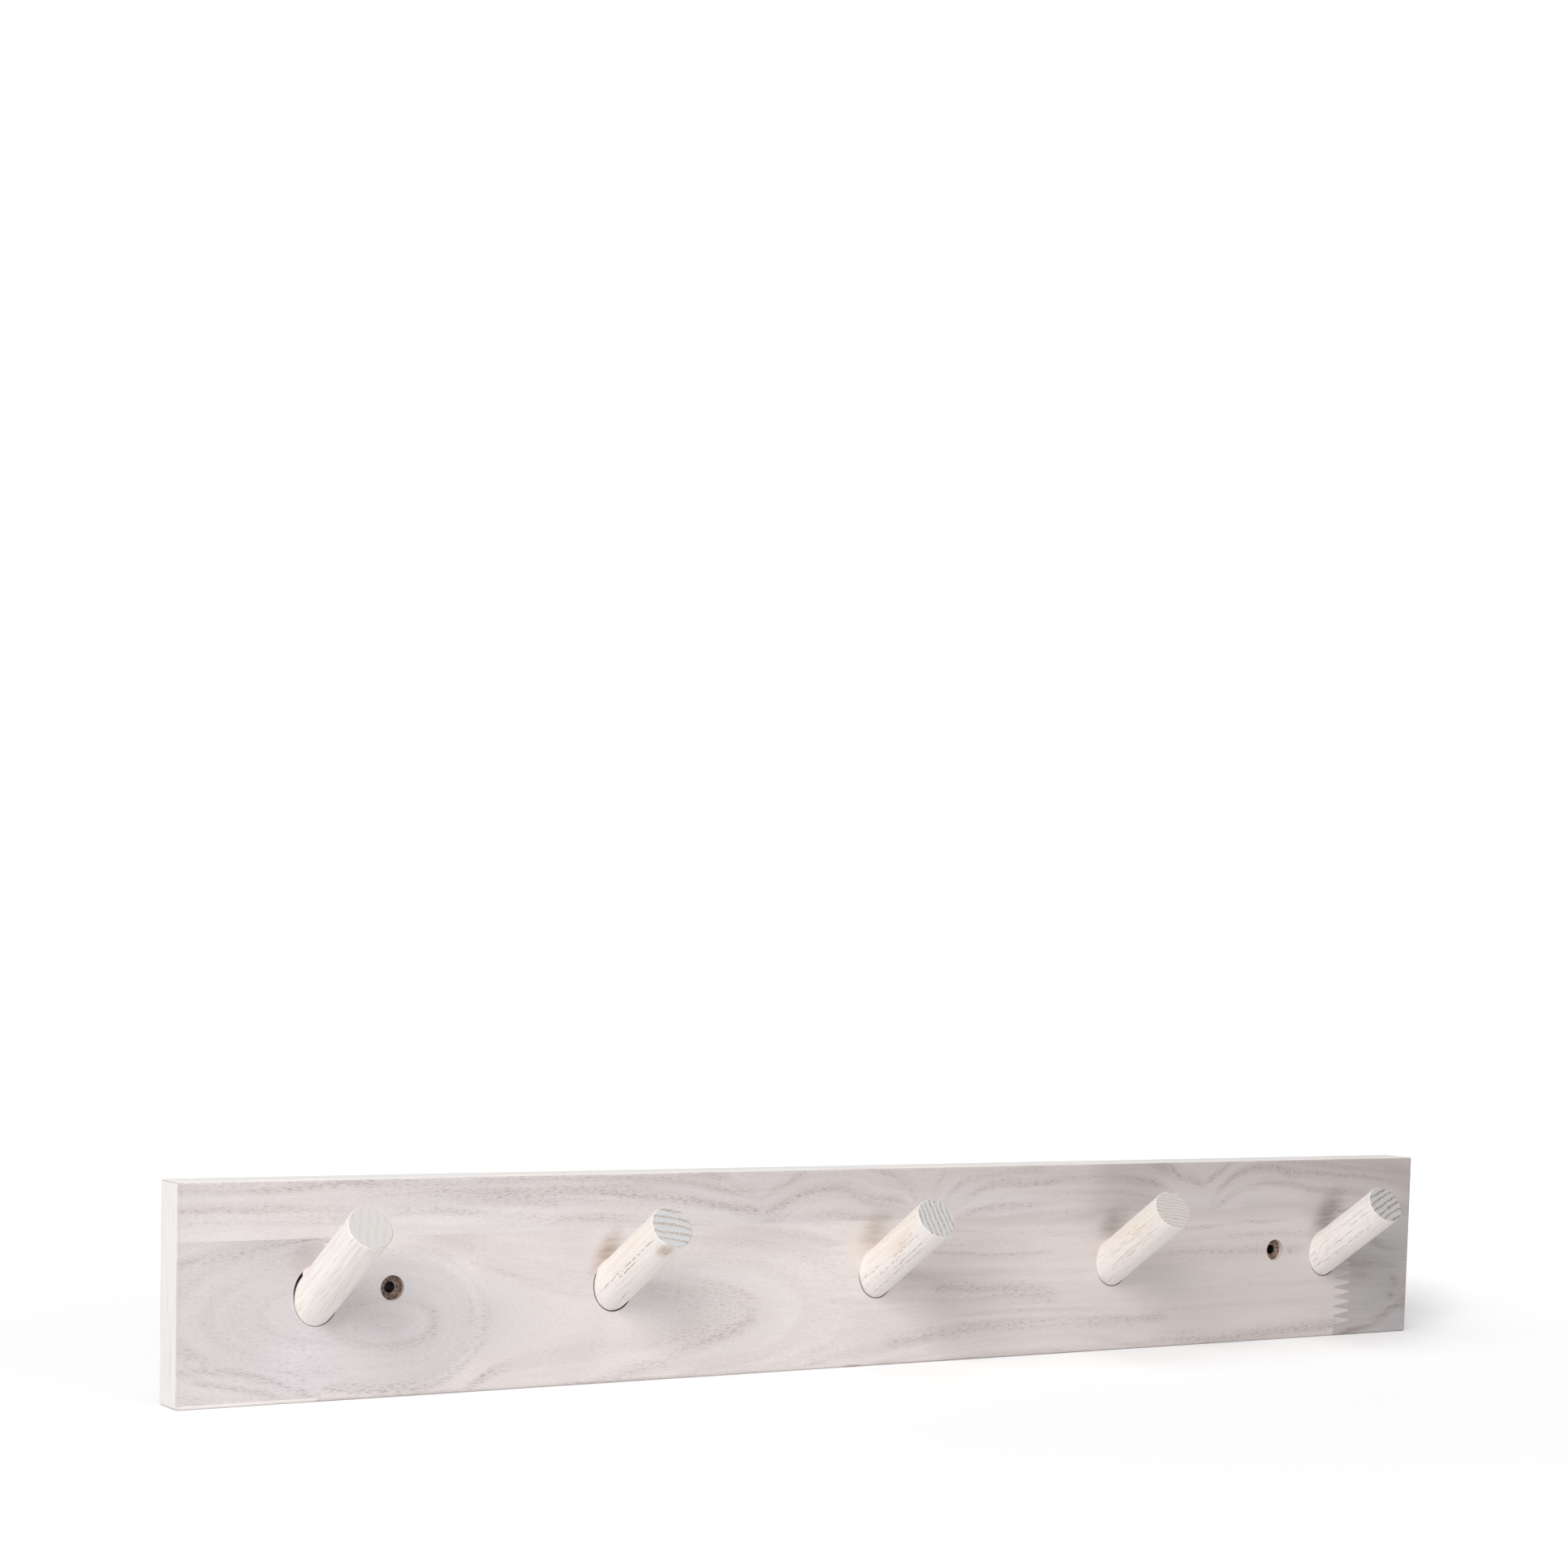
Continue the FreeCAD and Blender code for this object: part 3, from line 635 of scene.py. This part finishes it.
# Tip: turn of the rings in degrees, gap from ring to ring, and how strongly the dots show.
# Flank: how strong faint and clear pores are, the length of a dash, and rows of (mm round from the
# left, first and last mm from the tip). Bare wood and painted light: middle, reach, share and colour;
# the cream patches on the upper left of the flank are painted warm light.
PEG_WOOD = {
    1: {"turn": 73.0, "gap": 3.6, "tip": card(211, 208, 206), "dot": card(196, 164, 120), "dots": 0.2,
        "pore": card(206, 188, 182), "faint": 0.5, "clear": 0.5, "dash": 14.0, "rows": [], "bare_and_warm_light": []},
    2: {"turn": -12.0, "gap": 3.6, "tip": card(208, 207, 208), "dot": card(160, 124, 84), "dots": 0.65,
        "pore": card(152, 122, 98), "faint": 0.12, "clear": 0.8, "dash": 2.6,
        "rows": [(4.3, 4, 55), (5.8, 22, 40), (12.7, 1, 9), (13.8, 44, 57)],
        "bare_and_warm_light": [((11.5, -5.0), (5.0, 8.0), 0.8, card(176, 138, 100)),
                 ((-2.0, -20.0), (10.0, 34.0), 0.4, card(242, 226, 208))]},
    3: {"turn": 94.0, "gap": 2.8, "tip": card(206, 204, 204), "dot": card(136, 112, 88), "dots": 0.75,
        "pore": card(158, 130, 108), "faint": 0.2, "clear": 0.6, "dash": 3.0,
        "rows": [(3.1, 8, 22), (5.6, 5, 30), (7.1, 25, 50), (9.7, 8, 35), (12.0, 12, 40), (3.6, 40, 56),
                 (12.0, 45, 57)],
        "bare_and_warm_light": [((2.8, -20.0), (5.0, 17.0), 0.4, card(214, 184, 150)),
                 ((-2.0, -22.0), (10.0, 34.0), 0.5, card(242, 226, 206))]},
    4: {"turn": -10.0, "gap": 1.8, "tip": card(208, 202, 198), "dot": card(164, 138, 110), "dots": 0.6,
        "pore": card(190, 164, 138), "faint": 0.35, "clear": 0.5, "dash": 6.0,
        "rows": [(-0.3, 10, 45), (1.4, 8, 40), (2.9, 15, 45), (6.4, 10, 50), (8.4, 15, 55)],
        "bare_and_warm_light": [((-1.0, -22.0), (10.0, 34.0), 0.45, card(240, 224, 200))]},
    5: {"turn": 24.0, "gap": 3.2, "tip": card(191, 189, 189), "dot": card(112, 90, 72), "dots": 0.9,
        "pore": card(158, 138, 128), "faint": 0.3, "clear": 0.55, "dash": 5.0,
        "rows": [(-0.7, 5, 24), (2.0, 4, 20), (4.4, 20, 45), (8.5, 8, 50), (1.4, 42, 56), (4.4, 48, 56),
                 (7.5, 50, 57)],
        "bare_and_warm_light": []},
}


def turned(tree, place, turn, spot=(0.0, 0.0, 0.0), unit=1.0):
    """Place measured from a spot, in a unit, along lines turned out of the frame's."""
    node = tree.nodes.new("ShaderNodeMapping")
    node.vector_type = "TEXTURE"
    tree.links.new(place, node.inputs["Vector"])
    node.inputs["Location"].default_value = spot
    node.inputs["Rotation"].default_value = turn
    node.inputs["Scale"].default_value = (unit,) * 3
    return node.outputs[0]


def limed_flank(tree, wood, place):
    """Colour of a dowel's side: limed fibres, bare wood, painted warm light on its upper left, and rows
    of pores broken into dashes.
    """
    around, out, stick = place
    off_line = reckon(tree, "ABSOLUTE", reckon(
        tree, "SUBTRACT", mottle(tree, place, (1.0, 40.0, 1.0), 1.0), 0.5))
    dashes = fade(tree, off_line, 0.045, 0.0, 0.0, wood["faint"])
    sway = reckon(tree, "SUBTRACT", mottle(tree, (out, stick, 0.0), (7.0, 1.0, 1.0)), 0.5)
    swayed = reckon(tree, "MULTIPLY_ADD", sway, ROW_SWAY, around)
    for row, first, last in wood["rows"]:
        aside = reckon(tree, "ABSOLUTE", reckon(tree, "SUBTRACT", swayed, row))
        ends = within(tree, out, -last - ROW_RUN_OUT, -first + ROW_RUN_OUT, ROW_TAPER)
        line = reckon(tree, "MULTIPLY", fade(tree, aside, ROW_HALF, 0.05, 0.0, wood["clear"]), ends)
        dashes = reckon(tree, "MAXIMUM", dashes, line)
    broken = fade(tree, mottle(tree, place, (0.8, wood["dash"], 1.0), 1.0), 0.40, 0.56)
    dashes = reckon(tree, "MULTIPLY", dashes, broken)
    fibre = mottle(tree, place, (1.1, 50.0, 1.0), 3.0, 0.6)
    colour = wash(tree, fade(tree, fibre, 0.42, 0.75), card(246, 241, 237), card(235, 226, 221))
    for middle, reach, share, bare_and_warm_light in wood["bare_and_warm_light"]:
        patchy = fade(tree, fibre, 0.35, 0.60, 0.5 * share, share)
        patch = reckon(tree, "MULTIPLY", smudge(tree, (around, out), middle, reach), patchy)
        colour = wash(tree, patch, colour, bare_and_warm_light)
    return wash(tree, dashes, colour, wood["pore"]), dashes, fibre


RING_BOW = 200.0
RING_DRIFT = 2.4


def sawn_tip(tree, wood, seat, stick):
    """Colour of a dowel's end: grey end grain, and a row of pore dots for each ring."""
    side, across, _ = three_lengths(tree, turned(tree, seat, (0.0, 0.0, math.radians(wood["turn"]))))
    bow = reckon(tree, "DIVIDE", reckon(tree, "POWER", side, 2.0), RING_BOW)
    rings = reckon(tree, "ADD", across, bow)
    drift = mottle(tree, (side, rings, stick), (7.0, 5.0, 1.0), 1.0)
    rings = reckon(tree, "MULTIPLY_ADD", reckon(tree, "SUBTRACT", drift, 0.5), RING_DRIFT, rings)
    beat = reckon(tree, "SINE", reckon(tree, "MULTIPLY", rings, math.tau / wood["gap"]))
    dots = fade(tree, mottle(tree, (side, rings, stick), (0.7, 0.6, 1.0), 1.0), 0.36, 0.60)
    dots = reckon(tree, "MULTIPLY", dots, fade(tree, beat, 0.25, 0.85))
    grey = mottle(tree, (side, rings, stick), (2.5, 0.8, 1.0), 3.0, 0.6)
    colour = wash(tree, fade(tree, grey, 0.40, 0.75, 0.0, 0.2), wood["tip"], card(176, 174, 175))
    return wash(tree, reckon(tree, "MULTIPLY", dots, wood["dots"]), colour, wood["dot"]), dots


for number, wood in PEG_WOOD.items():
    axis, _, tip = peg_line(number)
    peg_finish, tree, shader = new_material(f"limed_peg_{number}")
    turn = (math.pi / 2 - math.asin(axis.z), 0.0, math.atan2(axis.x, -axis.y))
    seat = turned(tree, object_place(tree), turn, tip, 1 / METRE)
    sideways, upwards, out = three_lengths(tree, seat)
    angle = reckon(tree, "ARCTAN2", reckon(tree, "MULTIPLY", upwards, -1.0),
                   reckon(tree, "MULTIPLY", sideways, -1.0))
    around = reckon(tree, "MULTIPLY", angle, PEG_RADIUS)
    stick = 3.0 * wood["turn"]
    flank, dashes, fibre = limed_flank(tree, wood, (around, out, stick))
    end, dots = sawn_tip(tree, wood, seat, stick)
    on_tip = fade(tree, out, -0.40, -0.15)
    colour = wash(tree, on_tip, flank, end)
    finish_wood(tree, shader, colour, wash(tree, on_tip, dashes, dots), fibre)
    dress(f"peg_{number}", peg_finish)

# Lime in the gaps: the wash filled part of the slit round each peg's foot and dried there.
# A thin white skin, nearly level with the face; beside the first peg it ran into a small bead.
SKIN_PROUD = 0.04
SKIN_TUCK = 0.05
SKIN_TAPER = 0.2
SKIN_STEPS = 24
# Each skin has the number of its peg, its first and last degrees round from the right, and its width.
LIME_SKINS = [
    (1, 92, 126, 1.7), (1, 166, 300, 0.2), (2, 70, 158, 0.6), (2, 200, 275, 0.25), (3, 60, 206, 0.7),
    (4, 60, 250, 0.6), (5, 60, 245, 0.55),
]


def new_piece(name, shape, finish):
    """Object at the origin, made of a finished shape."""
    mesh = bpy.data.meshes.new(name)
    shape.to_mesh(mesh)
    shape.free()
    mesh.materials.append(finish)
    piece = bpy.data.objects.new(name, mesh)
    bpy.context.scene.collection.objects.link(piece)
    return piece


skin = bmesh.new()
for number, first, last, width in LIME_SKINS:
    axis, foot, _ = peg_line(number)
    strip = bmesh.ops.create_grid(skin, x_segments=SKIN_STEPS, y_segments=1, size=0.5)["verts"]
    for corner in strip:
        share = 0.5 - corner.co.x
        angle = math.radians(first + (last - first) * share)
        outward = Vector((math.cos(angle), 0.0, math.sin(angle)))
        reach = PEG_RADIUS / math.sqrt(1 - outward.dot(axis) ** 2)
        if corner.co.y > 0:
            reach += width * min(1.0, share / SKIN_TAPER, (1.0 - share) / SKIN_TAPER)
        else:
            reach -= SKIN_TUCK
        corner.co = foot + (outward * reach - Vector((0.0, SKIN_PROUD, 0.0))) / METRE
lime_finish, tree, shader = new_material("lime_skin")
shader.inputs["Base Color"].default_value = card(236, 229, 225)
shader.inputs["Roughness"].default_value = 0.7
shader.inputs["Specular IOR Level"].default_value = LIME_SHEEN
lime_skin = new_piece("lime_skin", skin, lime_finish)
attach(lime_skin, "root")

# Floor: a wide pale sheet under the rail, which stands on its bottom edge against nothing.
# It reads white farther off and keeps a soft shadow close to the rail, with painted shadow making it
# deeper behind the right-hand end and along the right half of the bottom edge.
SHEET_HALF = 6.0
WHITE = (1.0, 1.0, 1.0, 1.0)
SHEET_GREY = (0.8, 0.8, 0.8, 1.0)
NEAR_DIM = 0.755
END_SHADE = 0.20
EDGE_SHADE = 0.12


def seen_white(tree):
    """1 for what the camera sees, straight, mirrored or through glass; 0 for the light on the part."""
    rays = tree.nodes.new("ShaderNodeLightPath")
    bounced = reckon(tree, "MAXIMUM", rays.outputs["Is Glossy Ray"], rays.outputs["Is Transmission Ray"])
    return reckon(tree, "MAXIMUM", rays.outputs["Is Camera Ray"], bounced)


sheet = bmesh.new()
bmesh.ops.create_grid(sheet, x_segments=1, y_segments=1, size=SHEET_HALF)
bmesh.ops.translate(sheet, verts=sheet.verts, vec=(0.0, 0.0, cad_low.z))
floor_finish, tree, shader, (along, _, into) = new_finish("white_sweep")
shader.inputs["Base Color"].default_value = SHEET_GREY
shader.inputs["Roughness"].default_value = 0.9
shader.inputs["Specular IOR Level"].default_value = 0.0
pool = smudge(tree, (along, into), (100.0, -250.0), (2600.0, 2600.0))
glow = reckon(tree, "MULTIPLY_ADD", pool, -NEAR_DIM, 1.0)
past_end = reckon(tree, "SUBTRACT", along, into)
end_painted_shadow = smudge(tree, (past_end, into), (690.0, 95.0), (70.0, 165.0))
glow = reckon(tree, "MULTIPLY_ADD", end_painted_shadow, -END_SHADE, glow)
edge_painted_shadow = smudge(tree, (along, into), (580.0, 0.0), (250.0, 100.0))
glow = reckon(tree, "MULTIPLY_ADD", edge_painted_shadow, -EDGE_SHADE, glow)
shader.inputs["Emission Color"].default_value = WHITE
feed(tree, shader.inputs["Emission Strength"], reckon(tree, "MULTIPLY", seen_white(tree), glow))
floor = new_piece("floor", sheet, floor_finish)

# Studio light: a soft box up to the left, a wide dim one beside it, one in front and one overhead,
# in an even white room that looks white to the camera.
ROOM_LIGHT = 0.34
world = bpy.data.worlds.new("white_room")
bpy.context.scene.world = world
world.use_nodes = True
tree = world.node_tree
backdrop = tree.nodes["Background"]
feed(tree, backdrop.inputs["Strength"], fade(tree, seen_white(tree), 0.0, 1.0, ROOM_LIGHT, 1.0))
backdrop.inputs["Color"].default_value = WHITE


def soft_box(name, place, aim, size, watts, tint=(1.0, 1.0, 1.0)):
    """Square lamp at a place, facing a point."""
    lamp = bpy.data.lights.new(name, "AREA")
    lamp.size = size
    lamp.energy = watts
    lamp.color = tint
    box = bpy.data.objects.new(name, lamp)
    bpy.context.scene.collection.objects.link(box)
    box.location = place
    box.rotation_euler = (Vector(aim) - Vector(place)).to_track_quat("-Z", "Y").to_euler()


MIDDLE = (-0.05, 0.0, 0.0)
soft_box("key_soft_box", (-1.5, -1.3, 1.3), MIDDLE, 1.1, 27.0, (1.0, 0.995, 0.991))
soft_box("side_soft_box", (-2.2, -1.2, 0.5), MIDDLE, 2.0, 15.0)
soft_box("front_soft_box", (0.45, -1.5, 0.3), MIDDLE, 0.6, 2.4)
soft_box("top_soft_box", (0.0, 0.1, 1.7), MIDDLE, 1.4, 7.0)

# Camera: a long lens about 1.4 m from the rail's middle, a little above it and well to the left.
# It looks down by a few degrees only, and its shift sets the rail low in the frame.
YAW, PITCH, ROLL = math.radians(32.7214), math.radians(4.5306), math.radians(1.4634)
STAND = Vector((-0.773045, -1.139642, 0.142921))
FRAME_SIDE = 1932.0
FOCAL_PIXELS = 3524.98
CENTRE_ALONG = 967.2
CENTRE_DOWN = 1467.777
SENSOR = 36.0
look = Vector((math.sin(YAW) * math.cos(PITCH), math.cos(YAW) * math.cos(PITCH), -math.sin(PITCH)))
level = Vector((math.cos(YAW), -math.sin(YAW), 0.0))
upright = level.cross(look)
right = level * math.cos(ROLL) + upright * math.sin(ROLL)
up = upright * math.cos(ROLL) - level * math.sin(ROLL)
lens = bpy.data.cameras.new("camera")
lens.sensor_width = SENSOR
lens.lens = SENSOR * FOCAL_PIXELS / FRAME_SIDE
lens.shift_x = (FRAME_SIDE / 2 - CENTRE_ALONG) / FRAME_SIDE
lens.shift_y = (CENTRE_DOWN - FRAME_SIDE / 2) / FRAME_SIDE
lens.clip_start = 0.01
camera = bpy.data.objects.new("camera", lens)
bpy.context.scene.collection.objects.link(camera)
camera.matrix_world = Matrix.Translation(STAND) @ Matrix((right, up, -look)).transposed().to_4x4()
bpy.context.scene.camera = camera
bpy.context.scene.view_settings.view_transform = "Standard"
